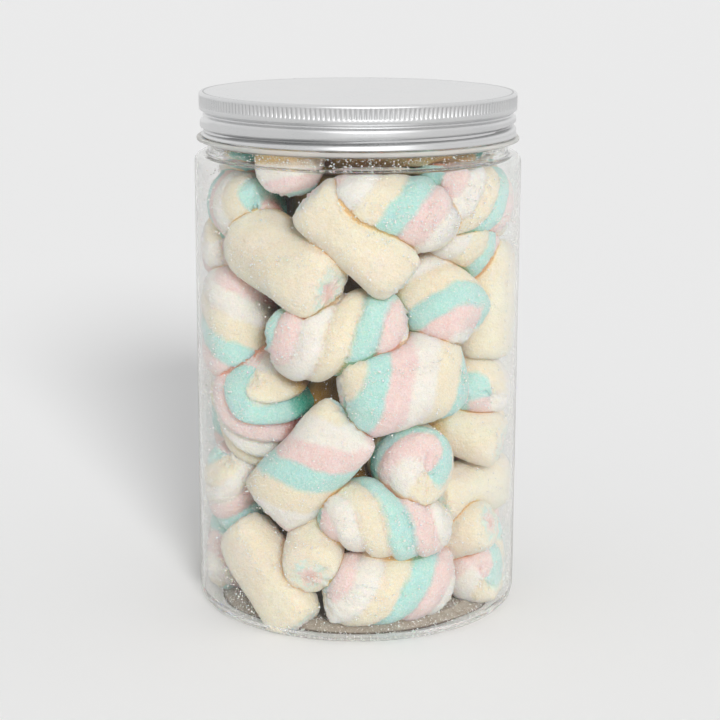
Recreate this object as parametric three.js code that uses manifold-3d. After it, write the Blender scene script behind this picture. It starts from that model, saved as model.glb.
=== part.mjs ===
// A clear PET screw-top jar, shut by a rolled aluminium lid and filled with soft marshmallows.
// Units are millimetres, +Z is up, and the origin is the centre of the jar's foot.

import * as THREE from "three";
import { mergeVertices } from "three/addons/utils/BufferGeometryUtils.js";
import Module from "manifold-3d";

// Facets of the round bodies
const ROUND_SEGMENTS = 36;
const CORNER_STEPS = 2;

// Jar
const JAR_RADIUS = 50;
const JAR_WALL = 0.8;
const SHOULDER_HEIGHT = 142;
const SHOULDER_CORNER = 2.6;
const BASE_CORNER = 4;
const FOOT_INNER_RADIUS = 42.6;
const FOOT_OUTER_RADIUS = 46;
const PUSH_UP_RADIUS = 39;
const PUSH_UP_HEIGHT = 2.6;
const NECK_RADIUS = 45.8;
const BEAD_RADIUS = 49.3;
const BEAD_BOTTOM = 145;
const BEAD_TOP = 147;
const NECK_TOP = 159.3;

// Lid
const LID_WALL = 0.6;
const LID_TOP = 160.4;
const LID_BEVEL = 0.7;
const LID_RADIUS = 48.5;
const LID_BOTTOM = 147.35;
const LID_LIP_HEIGHT = 156.1;
const LID_BEND_RADIUS = 47.1;
const LID_BEND_HEIGHT = 154.5;
const THREAD_GROOVE_RADIUS = 47;
const THREAD_GROOVE_HEIGHT = 149.9;
const THREAD_BULGE_RADIUS = 48.3;
const THREAD_BULGE_LOW = 151.4;
const THREAD_BULGE_HIGH = 153.4;
const SKIRT_RADIUS = 48.2;

const FACET_SAG = JAR_RADIUS * (1 - Math.cos(Math.PI / ROUND_SEGMENTS));

// Marshmallows
const CLEARANCE = 0.35;
const CORE_SEGMENTS = 12;
const CORE_RADIUS = 27;
const CORE_BOTTOM = 6;
const CORE_TOP_RADIUS = 20;
const CORE_TOP = 146;
const CORE_SHOULDER = 128;
const SQUASH = 2;
const BODY_SHARE = 0.7;
const TWIST_DEPTH = 0.1;
const TWIST_TAPER = 0.35;
const TWIST_CRIMP = 0.16;
const ROLL_TAPER = 0.3;
const ROLL_CRIMP = 0.4;
const TWIST_SIDES = 8;
const TWIST_STATIONS = 7;
const ROLL_SIDES = 7;
const ROLL_STATIONS = 4;
const STATION_BUNCHING = 1.25;
const BACK_ROWS = 6;
const BACK_COLUMNS = 5;
const BACK_FIRST_HEIGHT = 15;
const BACK_ROW_STEP = 23;
const BACK_COLUMN_STEP = 38;
const BACK_TRIES = 60;
const TOP_PIECES = 5;
const TOP_HEIGHT = 147;
const TOP_FIRST = 15;
const TOP_STEP = 60;
const TOP_INSET = 9;
const SEED = 5;
const FLOOR = PUSH_UP_HEIGHT + JAR_WALL + CLEARANCE;
const CEILING = SHOULDER_HEIGHT - JAR_WALL - CLEARANCE;
const NECK_CEILING = NECK_TOP - CLEARANCE;

const LEFT = -1;
const RIGHT = 1;

const radians = THREE.MathUtils.degToRad;
const wasm = await Module();
wasm.setup();

// around: degrees round the jar from its front. height: of the middle, in mm.
// tilt: degrees up to the right, seen from outside. lean: degrees that the forward end points outwards.
// flat: degrees that the crimp at the ends is turned. inset: mm from the wall.
// hand: which way it is twisted. taper: how much narrower the ends are. crimp: how thick the ends are.
function twist(around, height, tilt, lean, flat, length, width, inset, hand, taper = TWIST_TAPER) {
  const crimp = TWIST_CRIMP;
  return { twisted: true, around, height, tilt, lean, flat, length, width, inset, hand, taper, crimp };
}

function roll(around, height, tilt, lean, flat, length, width, inset, crimp = ROLL_CRIMP) {
  const [hand, taper] = [LEFT, ROLL_TAPER];
  return { twisted: false, around, height, tilt, lean, flat, length, width, inset, hand, taper, crimp };
}

// The pieces that lie against the front half of the wall, from the top down.
const FRONT_PIECES = [
  twist(-78, 126, 0, 0, 0, 40, 23, 3, RIGHT, 0.35),
  twist(-33, 144.5, 85, -10, 90, 24, 21, 4, RIGHT, 0.35),
  twist(16, 129, -13, 0, 80, 41, 24, 1, LEFT, 0.5),
  twist(59, 130, -12, 0, 0, 39, 25, 0, LEFT, 0.35),
  roll(-0.5, 121, -43, 0, 0, 37.5, 19, 0.5, 0.4),
  roll(-36, 112.8, -21, 8, 0, 40, 23.4, 0, 0.4),
  twist(65, 116, -40, 0, 0, 34, 23, 5, RIGHT, 0.35),
  twist(43, 101, -60, 56, 0, 35, 26.5, 0, LEFT, 0.35),
  roll(76, 98, 84, 0, 0, 37, 22, 0, 0.4),
  twist(-72, 90, -86, 0, 0, 37, 25, 0, LEFT, 0.35),
  twist(-9.5, 91.5, 12, -10, 30, 42, 25.5, 0, LEFT, 0.42),
  twist(22, 77.6, 11, 0, 0, 39, 29, 0, LEFT, 0.22),
  twist(80, 72.5, 190, 38, 65, 36, 23, 0, LEFT, 0.35),
  twist(-62, 65.5, -124, -24, 40, 38, 32, 0, LEFT, 0.4),
  twist(-21, 52, 48, 0, 0, 41, 23.5, 0, RIGHT, 0.15),
  twist(28.5, 51.8, 180, 82, 0, 29, 24.5, 0, LEFT, 0.3),
  roll(65, 58.8, -58, 70, 0, 34, 18, 0, 0.7),
  roll(73, 37.2, 180, -22, 0, 38, 19, 0, 0.75),
  twist(13.5, 35.2, -14, 0, 0, 41, 25, 0, RIGHT, 0.55),
  roll(57, 25, 80, 66, 0, 30, 16, 0, 0.8),
  twist(-77, 36, 70, 20, 0, 31, 23, 0, RIGHT, 0.35),
  roll(-41, 15.6, -46, 0, 0, 37.5, 19.5, 0, 0.4),
  roll(-22.5, 28.6, -62, 57, 0, 35, 18.5, 0, 0.75),
  twist(16, 14, 0, -8, 0, 42, 23.5, 0, LEFT, 0.3),
  twist(78, 13.5, 188, 35, 20, 34, 24, 0, LEFT, 0.35),
];

let seed = SEED;
function random() {
  seed = (seed * 1664525 + 1013904223) % 4294967296;
  return seed / 4294967296;
}

function between(low, high) {
  return low + (high - low) * random();
}

// The directions of a piece: along it, outwards across it, and the third one square to both.
function directions(piece) {
  const [around, tilt, lean] = [radians(piece.around), radians(piece.tilt), radians(piece.lean)];
  const outwards = new THREE.Vector3(Math.sin(around), -Math.cos(around), 0);
  const along = new THREE.Vector3(Math.cos(around), Math.sin(around), 0);
  along.multiplyScalar(Math.cos(tilt)).add(new THREE.Vector3(0, 0, Math.sin(tilt)));
  along.multiplyScalar(Math.cos(lean)).addScaledVector(outwards, Math.sin(lean));
  const out = outwards.clone().addScaledVector(along, -outwards.dot(along)).normalize();
  const across = new THREE.Vector3().crossVectors(along, out);
  return { outwards, along, out, across };
}

// Half the length of the straight part of a piece, between its two round ends.
function reach(piece) {
  return piece.length / 2 - BODY_SHARE * piece.width / 2;
}

// Where the middle of a piece is when the piece is pushed out until it meets the wall.
function middle(piece) {
  const { outwards, along } = directions(piece);
  const limit = JAR_RADIUS - JAR_WALL + SQUASH - piece.inset - piece.width / 2;
  const slope = reach(piece) * outwards.dot(along);
  const level = reach(piece) ** 2 * (along.x ** 2 + along.y ** 2);
  const root = Math.sqrt(Math.max(slope ** 2 - level + limit ** 2, 0));
  const distance = Math.max(root - Math.abs(slope), 0);
  return outwards.clone().multiplyScalar(distance).setZ(piece.height);
}

// How deep two pieces run into each other, taken as round bars.
function overlap(first, second) {
  const gap = first.middle.clone().sub(second.middle);
  const turn = first.along.dot(second.along);
  const [onFirst, onSecond] = [first.along.dot(gap), second.along.dot(gap)];
  const spread = Math.max(1 - turn ** 2, 1e-6);
  const { clamp } = THREE.MathUtils;
  let s = clamp((turn * onSecond - onFirst) / spread, -first.reach, first.reach);
  const t = clamp(turn * s + onSecond, -second.reach, second.reach);
  s = clamp(turn * t - onFirst, -first.reach, first.reach);
  gap.addScaledVector(first.along, s).addScaledVector(second.along, -t);
  return Math.max((first.piece.width + second.piece.width) / 2 - gap.length(), 0);
}

function settled(piece) {
  return { piece, middle: middle(piece), along: directions(piece).along, reach: reach(piece) };
}

// How badly a piece fits among those already placed, and between the jar's floor and its ceiling.
function crowding(candidate, placed, ceiling) {
  const { piece, along } = candidate;
  const rise = Math.abs(along.z) * candidate.reach + piece.width / 2;
  const above = Math.max(piece.height + rise - ceiling, 0);
  const below = Math.max(FLOOR - piece.height + rise, 0);
  return placed.reduce((sum, other) => sum + overlap(candidate, other) ** 2, above ** 2 + below ** 2);
}

// One piece for the back of the jar: of some random ones, the one that has most room.
function roomiest(placed, around, height, inset) {
  const twisted = random() < 0.68;
  let best = null;
  for (let attempt = 0; attempt < BACK_TRIES; attempt += 1) {
    const tilt = between(-90, 90);
    const lean = between(-25, 25);
    const length = between(36, 42);
    const width = twisted ? between(23, 27) : between(19, 22.5);
    const place = [around + between(-9, 9), height + between(-4, 4)];
    const hand = random() < 0.7 ? LEFT : RIGHT;
    const form = [...place, tilt, lean, between(0, 90), length, width, inset];
    const piece = twisted ? twist(...form, hand) : roll(...form);
    const candidate = settled(piece);
    const score = crowding(candidate, placed, height > SHOULDER_HEIGHT ? NECK_CEILING : CEILING);
    if (best === null || score < best.score) {
      best = { score, candidate };
    }
  }
  return best.candidate;
}

function arrangement() {
  const placed = FRONT_PIECES.map(settled);
  for (let row = 0; row < BACK_ROWS; row += 1) {
    const columns = BACK_COLUMNS - row % 2;
    for (let column = 0; column < columns; column += 1) {
      const around = 180 + BACK_COLUMN_STEP * (column - (columns - 1) / 2);
      placed.push(roomiest(placed, around, BACK_FIRST_HEIGHT + BACK_ROW_STEP * row, 0));
    }
  }
  for (let index = 0; index < TOP_PIECES; index += 1) {
    placed.push(roomiest(placed, TOP_FIRST + TOP_STEP * index, TOP_HEIGHT, TOP_INSET));
  }
  return placed;
}

// The outline of a piece's section: it is round in the middle, and crimped flat at both ends.
function sectionRadius(piece, along, angle) {
  const end = Math.abs(along);
  const radius = piece.width / 2;
  const wide = radius * (1 - piece.taper * end ** (piece.twisted ? 5 : 9));
  const bulge = Math.max(1 - end ** (piece.twisted ? 3.2 : 5), 0) ** (piece.twisted ? 0.62 : 0.7);
  const thin = radius * (piece.crimp + (1 - piece.crimp) * bulge);
  const turned = angle - radians(piece.flat);
  return 1 / Math.hypot(Math.sin(turned) / wide, Math.cos(turned) / thin);
}

// Presses a point back inside the jar's body, or inside its neck for a piece that reaches up into it.
function kept(position, inNeck) {
  const radius = Math.hypot(position.x, position.y);
  const limit = (inNeck ? NECK_RADIUS : JAR_RADIUS) - JAR_WALL - CLEARANCE - FACET_SAG;
  if (radius > limit) {
    position.x *= limit / radius;
    position.y *= limit / radius;
  }
  position.z = THREE.MathUtils.clamp(position.z, FLOOR, inNeck ? NECK_CEILING : CEILING);
}

function pieceGeometry({ piece, middle: centre }) {
  const inNeck = piece.height > SHOULDER_HEIGHT;
  const stations = piece.twisted ? TWIST_STATIONS : ROLL_STATIONS;
  const sides = piece.twisted ? TWIST_SIDES : ROLL_SIDES;
  const profile = [new THREE.Vector2(0, -1)];
  for (let station = 0; station < stations; station += 1) {
    const share = 2 * station / (stations - 1) - 1;
    const bunched = Math.sin(STATION_BUNCHING * share) / Math.sin(STATION_BUNCHING);
    profile.push(new THREE.Vector2(1, 0.985 * bunched));
  }
  profile.push(new THREE.Vector2(0, 1));
  const geometry = new THREE.LatheGeometry(profile, sides);
  const places = geometry.getAttribute("position");
  const { along, out, across } = directions(piece);
  const point = new THREE.Vector3();
  for (let index = 0; index < places.count; index += 1) {
    point.fromBufferAttribute(places, index);
    const angle = Math.atan2(point.x, point.z) * -piece.hand;
    const ring = index % profile.length;
    const side = Math.floor(index / profile.length);
    const groove = piece.twisted && (ring + side) % 2 === 1 ? 1 - TWIST_DEPTH : 1;
    const size = Math.hypot(point.x, point.z) > 0.5 ? sectionRadius(piece, point.y, angle) * groove : 0;
    const position = centre.clone().addScaledVector(along, point.y * piece.length / 2);
    position.addScaledVector(out, size * Math.cos(angle));
    position.addScaledVector(across, size * Math.sin(angle));
    kept(position, inNeck);
    places.setXYZ(index, position.x, position.y, position.z);
  }
  return geometry;
}

// A closed solid from a geometry, turned inside out where its faces point inwards.
function solid(geometry) {
  geometry.deleteAttribute("normal");
  geometry.deleteAttribute("uv");
  const merged = mergeVertices(geometry, 1e-4);
  const corners = merged.getAttribute("position");
  const faces = [];
  let volume = 0;
  const [a, b, c] = [new THREE.Vector3(), new THREE.Vector3(), new THREE.Vector3()];
  for (let index = 0; index < merged.index.count; index += 3) {
    const face = [0, 1, 2].map((corner) => merged.index.getX(index + corner));
    if (new Set(face).size === 3) {
      [a, b, c].forEach((corner, order) => corner.fromBufferAttribute(corners, face[order]));
      volume += a.dot(b.cross(c));
      faces.push(face);
    }
  }
  if (volume < 0) {
    faces.forEach((face) => face.reverse());
  }
  return new wasm.Manifold(new wasm.Mesh({
    numProp: 3,
    vertProperties: new Float32Array(corners.array),
    triVerts: new Uint32Array(faces.flat()),
  }));
}

// The outer skin of a fused solid. Hollows that fusing sealed are filled, and loose scraps are dropped.
function outerSkin(manifold) {
  const { vertProperties, triVerts } = manifold.getMesh();
  const owner = Array.from({ length: vertProperties.length / 3 }, (_, vertex) => vertex);
  const root = (vertex) => {
    let top = vertex;
    while (owner[top] !== top) {
      owner[top] = owner[owner[top]];
      top = owner[top];
    }
    return top;
  };
  const skins = new Map();
  for (let index = 0; index < triVerts.length; index += 3) {
    owner[root(triVerts[index + 1])] = root(triVerts[index]);
    owner[root(triVerts[index + 2])] = root(triVerts[index]);
  }
  for (let index = 0; index < triVerts.length; index += 3) {
    const key = root(triVerts[index]);
    skins.set(key, [...(skins.get(key) ?? []), ...triVerts.slice(index, index + 3)]);
  }
  const largest = [...skins.values()].reduce((best, skin) => (skin.length > best.length ? skin : best));
  const geometry = new THREE.BufferGeometry();
  geometry.setAttribute("position", new THREE.BufferAttribute(vertProperties, 3));
  geometry.setIndex(largest);
  return mergeVertices(geometry.toNonIndexed(), 1e-5);
}

// A body of revolution about Z, from the radii and heights of its closed or axis-to-axis profile.
function revolved(profile, segments = ROUND_SEGMENTS) {
  const points = profile.map(([radius, height]) => new THREE.Vector2(radius, height));
  return new THREE.LatheGeometry(points, segments).rotateX(Math.PI / 2);
}

// Points of a round corner about a centre, from one angle to another in degrees.
function corner(radius, height, size, from, to) {
  return Array.from({ length: CORNER_STEPS + 1 }, (_, step) => {
    const angle = radians(from + (to - from) * step / CORNER_STEPS);
    return [radius + size * Math.cos(angle), height + size * Math.sin(angle)];
  });
}

function jarGeometry() {
  const inner = JAR_RADIUS - JAR_WALL;
  const bore = NECK_RADIUS - JAR_WALL;
  const cornerSize = SHOULDER_CORNER - JAR_WALL;
  return revolved([
    [0, PUSH_UP_HEIGHT],
    [PUSH_UP_RADIUS, PUSH_UP_HEIGHT],
    [FOOT_INNER_RADIUS, 0],
    ...corner(FOOT_OUTER_RADIUS, BASE_CORNER, BASE_CORNER, -90, 0),
    ...corner(JAR_RADIUS - SHOULDER_CORNER, SHOULDER_HEIGHT - SHOULDER_CORNER, SHOULDER_CORNER, 0, 90),
    [NECK_RADIUS, SHOULDER_HEIGHT + 0.4],
    [NECK_RADIUS, BEAD_BOTTOM],
    [BEAD_RADIUS - 0.4, BEAD_BOTTOM + 0.2],
    [BEAD_RADIUS, (BEAD_BOTTOM + BEAD_TOP) / 2],
    [BEAD_RADIUS - 0.4, BEAD_TOP - 0.2],
    [NECK_RADIUS, BEAD_TOP],
    [NECK_RADIUS, NECK_TOP],
    [bore, NECK_TOP],
    [bore, SHOULDER_HEIGHT - JAR_WALL],
    ...corner(JAR_RADIUS - SHOULDER_CORNER, SHOULDER_HEIGHT - SHOULDER_CORNER, cornerSize, 90, 0),
    ...corner(FOOT_OUTER_RADIUS, BASE_CORNER, inner - FOOT_OUTER_RADIUS, 0, -90),
    [FOOT_INNER_RADIUS + 0.3, JAR_WALL],
    [PUSH_UP_RADIUS + 0.3, PUSH_UP_HEIGHT + JAR_WALL],
    [0, PUSH_UP_HEIGHT + JAR_WALL],
  ]);
}

// The lid's outside, from its rolled lower edge to the middle of its top.
function lidOutside(inwards) {
  return [
    [SKIRT_RADIUS - inwards, LID_BOTTOM + 0.5],
    [SKIRT_RADIUS - inwards, THREAD_GROOVE_HEIGHT - 0.9],
    [THREAD_GROOVE_RADIUS - inwards, THREAD_GROOVE_HEIGHT],
    [THREAD_BULGE_RADIUS - inwards, THREAD_BULGE_LOW],
    [THREAD_BULGE_RADIUS - inwards, THREAD_BULGE_HIGH],
    [LID_BEND_RADIUS - inwards, LID_BEND_HEIGHT],
    [LID_RADIUS - inwards, LID_LIP_HEIGHT - 0.6],
  ];
}

function lidGeometry() {
  const roof = LID_TOP - LID_WALL;
  return revolved([
    [0, roof],
    [LID_RADIUS - LID_BEVEL - LID_WALL, roof],
    [LID_RADIUS - LID_WALL, roof - LID_BEVEL],
    ...lidOutside(LID_WALL).reverse(),
    [SKIRT_RADIUS - LID_WALL, LID_BOTTOM],
    [SKIRT_RADIUS - 0.2, LID_BOTTOM],
    ...lidOutside(0),
    [LID_RADIUS, LID_TOP - LID_BEVEL],
    [LID_RADIUS - LID_BEVEL, LID_TOP],
    [0, LID_TOP],
  ]);
}

function coreGeometry() {
  return revolved([
    [0, CORE_BOTTOM],
    [CORE_RADIUS, CORE_BOTTOM],
    [CORE_RADIUS, CORE_SHOULDER],
    [CORE_TOP_RADIUS, CORE_TOP],
    [0, CORE_TOP],
  ], CORE_SEGMENTS);
}

function heapGeometry() {
  let heap = solid(coreGeometry());
  for (const entry of arrangement()) {
    heap = heap.add(solid(pieceGeometry(entry)));
  }
  return outerSkin(heap);
}

function named(name, geometry, color, roughness, metalness, opacity = 1) {
  const transparent = opacity < 1;
  const material = new THREE.MeshStandardMaterial({ color, roughness, metalness, opacity, transparent });
  const mesh = new THREE.Mesh(geometry, material);
  mesh.name = name;
  return mesh;
}

const object = new THREE.Group();
object.add(named("jar", jarGeometry(), 0xf2f5f4, 0.06, 0, 0.25));
object.add(named("lid", lidGeometry(), 0xc9cbcc, 0.28, 1));
object.add(named("marshmallows", heapGeometry(), 0xf0e2c8, 0.9, 0));

export default object;
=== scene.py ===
"""A clear screw-top jar of pastel marshmallows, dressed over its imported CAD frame.

Shapes are worked out in millimetres and become metres when a mesh is made.
"""

import math

import bpy
import numpy as np
from mathutils import Matrix, Vector


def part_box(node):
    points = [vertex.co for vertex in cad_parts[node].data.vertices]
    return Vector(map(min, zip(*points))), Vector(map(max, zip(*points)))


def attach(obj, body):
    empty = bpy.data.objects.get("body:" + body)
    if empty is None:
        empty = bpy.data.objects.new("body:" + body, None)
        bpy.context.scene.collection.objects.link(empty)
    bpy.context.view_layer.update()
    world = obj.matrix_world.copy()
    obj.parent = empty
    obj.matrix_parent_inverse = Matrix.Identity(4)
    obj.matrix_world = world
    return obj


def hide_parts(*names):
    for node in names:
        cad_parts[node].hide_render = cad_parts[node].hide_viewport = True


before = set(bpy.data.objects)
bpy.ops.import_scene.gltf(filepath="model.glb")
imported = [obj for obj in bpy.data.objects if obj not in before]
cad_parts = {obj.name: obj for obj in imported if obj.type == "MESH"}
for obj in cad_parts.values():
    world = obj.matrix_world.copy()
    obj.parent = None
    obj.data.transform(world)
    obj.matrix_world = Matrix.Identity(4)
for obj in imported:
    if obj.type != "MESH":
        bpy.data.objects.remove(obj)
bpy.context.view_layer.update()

MM = 0.001
JAR_BOX = [np.array(corner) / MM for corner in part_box("jar")]
LID_BOX = [np.array(corner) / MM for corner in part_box("lid")]

# Jar, in mm
JAR_RADIUS = JAR_BOX[1][0]
JAR_WALL = 0.8
NECK_TOP = JAR_BOX[1][2]
NECK_RADIUS = JAR_RADIUS - 4.2
SHOULDER_HEIGHT = NECK_TOP - 17.3
SHOULDER_CORNER = 2.6
BASE_CORNER = 4
FOOT_OUTER_RADIUS = JAR_RADIUS - BASE_CORNER
FOOT_INNER_RADIUS = FOOT_OUTER_RADIUS - 3.4
PUSH_UP_RADIUS = FOOT_INNER_RADIUS - 3.6
PUSH_UP_HEIGHT = 2.6
BEAD_RADIUS = JAR_RADIUS - 0.7
BEAD_BOTTOM = SHOULDER_HEIGHT + 3
BEAD_TOP = BEAD_BOTTOM + 2
JAR_SEGMENTS = 192

# Lid, in mm
LID_TOP = LID_BOX[1][2]
LID_BOTTOM = LID_BOX[0][2]
LID_RADIUS = LID_BOX[1][0]
LID_WALL = 0.6
LID_RIM = 0.7
LID_CORNER = 0.75
KNURL_COUNT = 210
KNURL_COLUMNS = 6
KNURL_DEPTH = 0.5
KNURL_LOW = LID_TOP - 4.3
KNURL_HIGH = LID_TOP - LID_CORNER
KNURL_FADE = 0.6
LIP_HEIGHT = KNURL_LOW - 1.0
BEND_HEIGHT = LID_TOP - 6.3
BEND_RADIUS = LID_RADIUS - 1.5
BEND_WIDTH = 0.62
DEEPEST_RADIUS = BEND_RADIUS - 0.6
SKIRT_RADIUS = LID_RADIUS - 0.25
THREAD_DEPTH = 1.75
THREAD_WIDTH = 0.62
THREAD_PITCH = 4.0
THREAD_FRONT = LID_TOP - 10.6
THREAD_START = -150
THREAD_END = 300
THREAD_FADE = 40
THREAD_SHADE = 0.45
THREAD_SHADE_WIDTH = 0.5
KNURL_SHADE = 0.2
RIM_SHADE = 0.5
WALL_STEP = 0.32
CURL = 0.42
CURL_TOP = LID_BOTTOM + 0.9

# Marshmallows, in mm
WALL_GAP = 0.08
SQUASH = 2
BODY_SHARE = 0.7
STRAND_TURNS = 4.8
RIM_START = 0.93
RIM_POWER = 2.6
BACK_ROWS = 6
BACK_COLUMNS = 5
BACK_FIRST_HEIGHT = 15
BACK_ROW_STEP = 23
BACK_COLUMN_STEP = 38
BACK_TRIES = 60
TOP_PIECES = 5
TOP_HEIGHT = 147
TOP_FIRST = 15
TOP_STEP = 60
TOP_INSET = 9
SEED = 5
CAD_CLEARANCE = 0.35
CAD_FLOOR = PUSH_UP_HEIGHT + JAR_WALL + CAD_CLEARANCE
CAD_CEILING = SHOULDER_HEIGHT - JAR_WALL - CAD_CLEARANCE
CAD_NECK_CEILING = NECK_TOP - CAD_CLEARANCE
CEILING = SHOULDER_HEIGHT - JAR_WALL - WALL_GAP
WALL_EASE = 0.9
TOUCH_GAP = 0.05
PRESS_STEPS = 7
CREVICE_REACH = 0.8
# Painted shade towards the jar's middle, and in the neck under the lid
DEEP_RADIUS = 36
DEEP_FADE = 8
ROUGHNESS = 0.11
FRONT_DETAIL = (50, 80, 7)
BACK_DETAIL = (34, 44, 4)
TWIST_THINNING = (3.2, 0.62)
ROLL_THINNING = (5, 0.7)
FIRM_SHARE = 0.12
SMOOTHING = 0.6
SWELL = 0.25
PUCKER = 0.35
PUCKER_START = 0.7
PUCKER_REACH = 0.3
PINCH_WIDTH = 0.6
TWIST_PINCH = 0.9
ROLL_PINCH = 0.4
FINE_FOLDS = 0.38
BROAD_FOLDS = 0.25
END_DISH = 0.2
POLE_DEPTH = 0.5
NECK_SHADE = 0.4
CORE_ROWS = 90
CORE_COLUMNS = 96
CORE_BOTTOM = 7
CORE_TOP = 148
CORE_RADIUS = 25.5
CORE_TAPER = 7
CORE_TAPER_START = 128
CORE_TAPER_LENGTH = 20
CORE_LUMPS = 1.8
CORE_WAVELENGTH = 34
LEFT = -1
RIGHT = 1

# Sugar: numbers of grains, and distances in mm
WALL_GRAINS = 40000
NECK_GRAINS = 1700
FLOOR_GRAINS = 3800
COAT_GRAINS = 48000
COAT_RADIUS = 30
COAT_STEP = 2
FREE_SKIN = 0.8
GRAIN_GAP = 0.12
GRAIN_REACH = 0.9
GRAIN_SPREAD = 0.8
DUST_COLUMNS = 96
DUST_THICKNESS = 0.04
DUST_GAP = 0.05


# ---------------------------------------------------------------- arrangement

class Piece:
    """One marshmallow. around: degrees round the jar from its front. tilt: degrees up to the right.
    lean: degrees that the forward end points outwards. flat: degrees that the crimp at the ends is turned.
    inset: mm from the wall. strand: which strand faces out. relief: how deep the strands' grooves are.
    skew: how far each strand leans over the next. taper, crimp: how much narrower and how thick the ends are.
    firm: a piece keeps its shape where it meets a less firm one. bulk: how far out the full width reaches."""

    def __init__(self, twisted, around, height, tilt, lean, flat, length, width, inset, strand, hand,
                 relief, skew, taper, crimp, firm, bulk):
        self.twisted, self.hand, self.strand, self.firm = twisted, hand, strand, firm
        self.taper, self.crimp, self.bulk = taper, crimp, bulk
        self.around, self.height, self.flat = around, height, math.radians(flat)
        self.length, self.width, self.relief, self.skew = length, width, relief, skew
        self.reach = length / 2 - BODY_SHARE * width / 2
        turn, rise, out = math.radians(around), math.radians(tilt), math.radians(lean)
        self.outwards = np.array([math.sin(turn), -math.cos(turn), 0.0])
        self.along = np.array([math.cos(turn), math.sin(turn), 0.0]) * math.cos(rise)
        self.along = (self.along + np.array([0, 0, math.sin(rise)])) * math.cos(out)
        self.along += self.outwards * math.sin(out)
        self.out = self.outwards - self.along * (self.outwards @ self.along)
        self.out /= np.linalg.norm(self.out)
        self.across = np.cross(self.along, self.out)
        self.centre = self.middle(inset)

    def middle(self, inset):
        """Where the piece's middle is when the piece is pushed out until it meets the wall."""
        limit = JAR_RADIUS - JAR_WALL + SQUASH - inset - self.width / 2
        slope = self.reach * (self.outwards @ self.along)
        level = self.reach ** 2 * (self.along[0] ** 2 + self.along[1] ** 2)
        distance = max(math.sqrt(max(slope ** 2 - level + limit ** 2, 0)) - abs(slope), 0)
        return self.outwards * distance + np.array([0, 0, self.height])

    @property
    def in_neck(self):
        return self.height > SHOULDER_HEIGHT


def twist(around, height, tilt, lean, flat, length, width, inset, strand, hand, relief=0.07, skew=0,
          taper=0.35, firm=1, bulk=5):
    return Piece(True, around, height, tilt, lean, flat, length, width, inset, strand, hand, relief, skew,
                 taper, 0.16, firm, bulk)


def roll(around, height, tilt, lean, flat, length, width, inset, crimp=0.4, firm=1):
    return Piece(False, around, height, tilt, lean, flat, length, width, inset, 0, LEFT, 0, 0,
                 0.3, crimp, firm, 9)


def front_pieces():
    """The pieces that lie against the front half of the wall, from the top down."""
    return [
        twist(-78, 126, 0, 0, 0, 40, 23, 3, 1.3, RIGHT, firm=0),
        twist(-33, 144.5, 85, -10, 90, 24, 21, 4, 3.7, RIGHT, relief=0.03, firm=2),
        twist(16, 129, -13, 0, 80, 41, 24, 1, 0.6, LEFT, relief=0.09, taper=0.5, bulk=3.5),
        twist(59, 130, -12, 0, 0, 39, 25, 0, 0.1, LEFT, relief=0.14, skew=0.4, firm=2),
        roll(-0.5, 121, -43, 0, 0, 37.5, 19, 0.5, firm=4),
        roll(-36, 112.8, -21, 8, 0, 40, 23.4, 0, firm=4),
        twist(65, 116, -40, 0, 0, 34, 23, 5, 0.9, RIGHT, firm=0),
        twist(43, 101, -60, 56, 0, 35, 26.5, 0, 3.15, LEFT, relief=0.05, firm=3),
        roll(76, 98, 84, 0, 0, 37, 22, 0, firm=0),
        twist(-72, 90, -86, 0, 0, 37, 25, 0, 0.25, LEFT, relief=0.06),
        twist(-9.5, 91.5, 12, -10, 30, 42, 25.5, 0, 3.5, LEFT, relief=0.17, taper=0.42, firm=4),
        twist(22, 77.6, 11, 0, 0, 39, 29, 0, 2.25, LEFT, relief=0.03, taper=0.22, firm=3),
        twist(80, 72.5, 190, 38, 65, 36, 23, 0, 0.7, LEFT, relief=0.05),
        twist(-62, 65.5, -124, -24, 40, 38, 32, 0, 2.8, LEFT, relief=0.24, skew=0.6, taper=0.4, firm=2),
        twist(-21, 52, 48, 0, 0, 41, 23.5, 0, 0.6, RIGHT, relief=0.02, taper=0.15, firm=4),
        twist(28.5, 51.8, 180, 82, 0, 29, 24.5, 0, 2.3, LEFT, relief=0.05, taper=0.3, firm=4),
        roll(65, 58.8, -58, 70, 0, 34, 18, 0, crimp=0.7),
        roll(73, 37.2, 180, -22, 0, 38, 19, 0, crimp=0.75),
        twist(13.5, 35.2, -14, 0, 0, 41, 25, 0, 0.3, RIGHT, relief=0.13, skew=-0.6, taper=0.6, firm=3,
              bulk=2.4),
        roll(57, 25, 80, 66, 0, 30, 16, 0, crimp=0.8, firm=3),
        twist(-77, 36, 70, 20, 0, 31, 23, 0, 1.9, RIGHT, relief=0.09),
        roll(-41, 15.6, -46, 0, 0, 37.5, 19.5, 0, firm=4),
        roll(-22.5, 28.6, -62, 57, 0, 35, 18.5, 0, crimp=0.75, firm=4),
        twist(16, 14, 0, -8, 0, 42, 23.5, 0, 0.1, LEFT, relief=0.1, taper=0.3, firm=3),
        twist(78, 13.5, 188, 35, 20, 34, 24, 0, 2.2, LEFT),
    ]


class Draws:
    """The same run of random numbers that laid out the CAD heap."""
    FACTOR = 1664525
    STEP = 1013904223
    RANGE = 4294967296

    def __init__(self, seed):
        self.seed = seed

    def random(self):
        self.seed = (self.seed * self.FACTOR + self.STEP) % self.RANGE
        return self.seed / self.RANGE

    def between(self, low, high):
        return low + (high - low) * self.random()


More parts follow.
